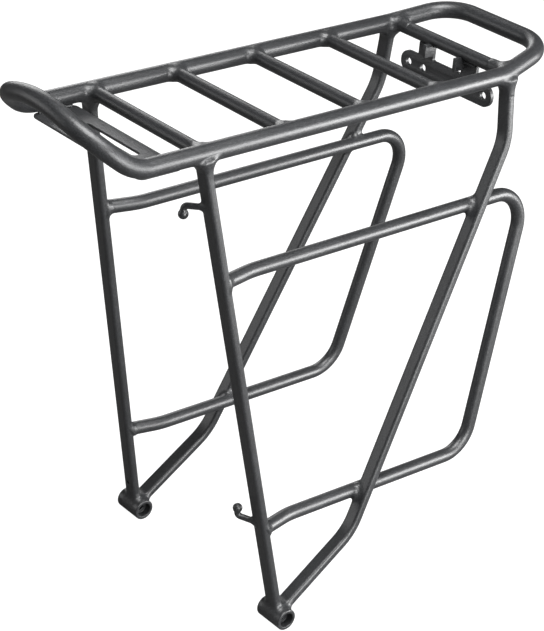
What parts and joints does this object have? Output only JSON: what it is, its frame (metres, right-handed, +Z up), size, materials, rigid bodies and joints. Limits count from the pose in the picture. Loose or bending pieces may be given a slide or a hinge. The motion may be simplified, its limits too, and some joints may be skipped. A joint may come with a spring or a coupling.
{
  "type": "bicycle rear rack",
  "caption": "Welded tube rear pannier rack for a bicycle: ladder deck with raised rear arch, V legs to dropout bosses, low side rails, stay bracket and light plate.",
  "frame": {"origin": "middle of the axis through the two dropout bosses, where the rack bolts to the bicycle", "axes": "+X towards the front of the bicycle, +Y to its left, +Z up; the deck is level"},
  "size_m": [0.4304, 0.201, 0.425],
  "materials": {
    "powder_coat": "satin charcoal powder coat on welded tube",
    "powder_coat_sheet": "satin charcoal powder coat on flat sheet, slightly flatter"
  },
  "bodies": {
    "root": {"deck_hoop": "powder_coat", "crossbar_1": "powder_coat", "crossbar_2": "powder_coat", "crossbar_3": "powder_coat", "crossbar_4": "powder_coat", "crossbar_5": "powder_coat", "rear_leg_left": "powder_coat", "rear_leg_right": "powder_coat", "front_leg_left": "powder_coat", "front_leg_right": "powder_coat", "side_hoop_left": "powder_coat", "side_hoop_right": "powder_coat", "dropout_boss_left": "powder_coat", "dropout_boss_right": "powder_coat", "rear_plate": "powder_coat_sheet", "stay_bracket": "powder_coat_sheet", "pump_peg_upper": "powder_coat", "pump_peg_lower": "powder_coat"}
  },
  "joints": []
}
